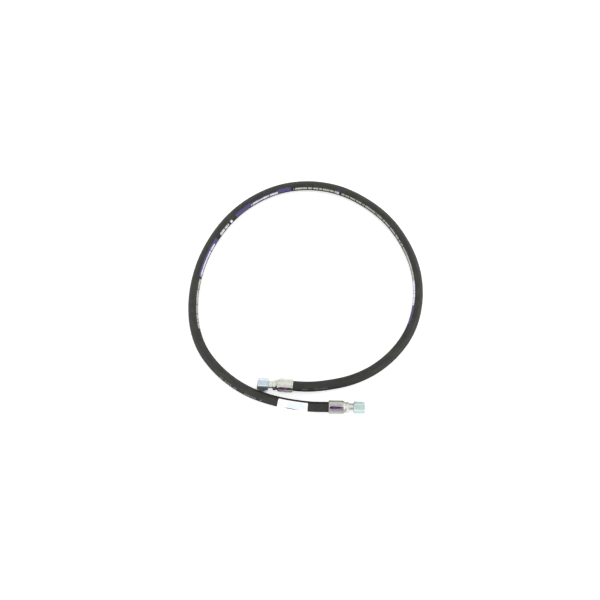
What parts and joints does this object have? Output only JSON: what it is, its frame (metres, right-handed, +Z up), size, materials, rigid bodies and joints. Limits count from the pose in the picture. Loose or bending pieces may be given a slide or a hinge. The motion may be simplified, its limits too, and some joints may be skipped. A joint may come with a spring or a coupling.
{
  "type": "hydraulic hose assembly",
  "caption": "Black rubber hydraulic hose, laid in one open loop, with a crimped ferrule and a hexagonal swivel nut fitting at each end.",
  "frame": {"origin": "centre of the box round the two end fittings, at the height of the surface that hose and ferrules lie on", "axes": "+X is the long way of the two fittings, from fitting A at -X to fitting B at +X. +Y is towards the hose's loop. +Z is up from the surface."},
  "size_m": [0.5116, 0.5376, 0.0292],
  "materials": {
    "hose_rubber": "black cover with a fine cloth-wrap texture and a printed purple and white line",
    "inner_rubber": "smooth black nitrile rubber",
    "braid_wire": "brass-coated braided steel wire",
    "ferrule_zinc": "zinc-plated steel, satin, marked by the crimping dies",
    "stem_zinc": "zinc-plated turned steel",
    "nut_zinc": "zinc-plated steel with a pale blue-green passivated look",
    "spring_wire": "bright drawn wire",
    "label_film": "white and pale blue film, semi-gloss"
  },
  "bodies": {
    "hose_and_ends": {"hose_cover": "hose_rubber", "outer_wire_braid": "braid_wire", "middle_rubber_layer": "inner_rubber", "inner_wire_braid": "braid_wire", "hose_inner_tube": "inner_rubber", "ferrule_a": "ferrule_zinc", "ferrule_b": "ferrule_zinc", "stem_a": "stem_zinc", "stem_b": "stem_zinc", "retaining_wire_a": "spring_wire", "retaining_wire_b": "spring_wire", "hose_label": "label_film"},
    "nut_a": {"swivel_nut_a": "nut_zinc"},
    "nut_b": {"swivel_nut_b": "nut_zinc"}
  },
  "joints": [
    {"name": "swivel_a", "type": "hinge", "parent": "hose_and_ends", "child": "nut_a", "pos_m": [-0.10408, 0.02505, 0.01455], "axis": [-0.9976, 0.0698, 0], "continuous": true},
    {"name": "swivel_b", "type": "hinge", "parent": "hose_and_ends", "child": "nut_b", "pos_m": [0.10464, -0.02429, 0.01458], "axis": [0.9998, -0.0175, 0], "continuous": true}
  ]
}
